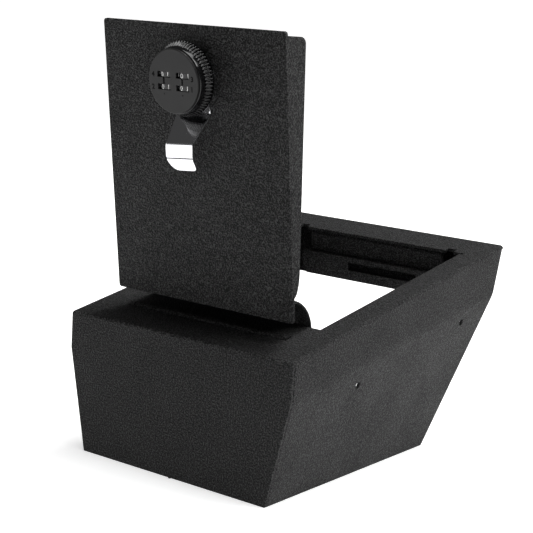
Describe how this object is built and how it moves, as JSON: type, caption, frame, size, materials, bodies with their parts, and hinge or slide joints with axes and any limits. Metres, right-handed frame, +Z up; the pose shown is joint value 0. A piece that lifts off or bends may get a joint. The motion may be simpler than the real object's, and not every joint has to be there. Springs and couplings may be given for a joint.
{
  "type": "console lock box",
  "caption": "Sheet-steel console lock box with a sloping rim, a hinged lid on a goose-neck leaf, a pull tab and a combination knob that turns a cam into a strike plate.",
  "frame": {"origin": "middle of the front wall's bottom edge, at its outer face", "axes": "+X to the right as seen facing the knob, +Y to the rear, where the strike plate is, +Z up, square to the bottom edges"},
  "size_m": [0.16, 0.2255, 0.249],
  "materials": {
    "powder_coat": "fine black wrinkle powder coat, satin",
    "polished_chrome": "polished",
    "plated_steel": "bright zinc plate",
    "black_plastic": "satin moulded",
    "knob_face": "dark anodised, satin",
    "wheel_plastic": "satin moulded"
  },
  "bodies": {
    "box": {"front_wall": "powder_coat", "left_wall": "powder_coat", "right_wall": "powder_coat", "rim_frame": "powder_coat", "rear_wall": "powder_coat", "rear_angle": "powder_coat", "strike_plate": "powder_coat", "hinge_fixed_leaf": "powder_coat", "hinge_pin": "powder_coat"},
    "lid": {"lid_panel": "powder_coat", "goose_neck_leaf": "powder_coat", "pull_tab": "polished_chrome", "lock_housing": "plated_steel", "lock_washer": "plated_steel", "lock_nut": "plated_steel"},
    "knob": {"lock_spindle": "plated_steel", "cam": "plated_steel", "cam_nut": "plated_steel", "knob_grip": "black_plastic", "knob_face": "knob_face", "wheel_axles": "plated_steel"},
    "wheel_1": {"number_wheel_1": "wheel_plastic"},
    "wheel_2": {"number_wheel_2": "wheel_plastic"},
    "wheel_3": {"number_wheel_3": "wheel_plastic"},
    "wheel_4": {"number_wheel_4": "wheel_plastic"}
  },
  "joints": [
    {"name": "lid_hinge", "type": "hinge", "parent": "box", "child": "lid", "pos_m": [0, 0.02539, 0.08536], "axis": [1, 0, 0], "range_deg": [-86.83, 0]},
    {"name": "knob_turn", "type": "hinge", "parent": "lid", "child": "knob", "pos_m": [0, 0.00328, 0.22121], "axis": [0, -0.9904, -0.138], "range_deg": [0, 90]},
    {"name": "wheel_1_turn", "type": "hinge", "parent": "knob", "child": "wheel_1", "pos_m": [0.00645, -0.00533, 0.21668], "axis": [0, -0.138, 0.9904], "continuous": true},
    {"name": "wheel_2_turn", "type": "hinge", "parent": "knob", "child": "wheel_2", "pos_m": [-0.00645, -0.00533, 0.21668], "axis": [0, -0.138, 0.9904], "continuous": true},
    {"name": "wheel_3_turn", "type": "hinge", "parent": "knob", "child": "wheel_3", "pos_m": [0.00645, -0.00624, 0.22322], "axis": [0, -0.138, 0.9904], "continuous": true},
    {"name": "wheel_4_turn", "type": "hinge", "parent": "knob", "child": "wheel_4", "pos_m": [-0.00645, -0.00624, 0.22322], "axis": [0, -0.138, 0.9904], "continuous": true}
  ]
}
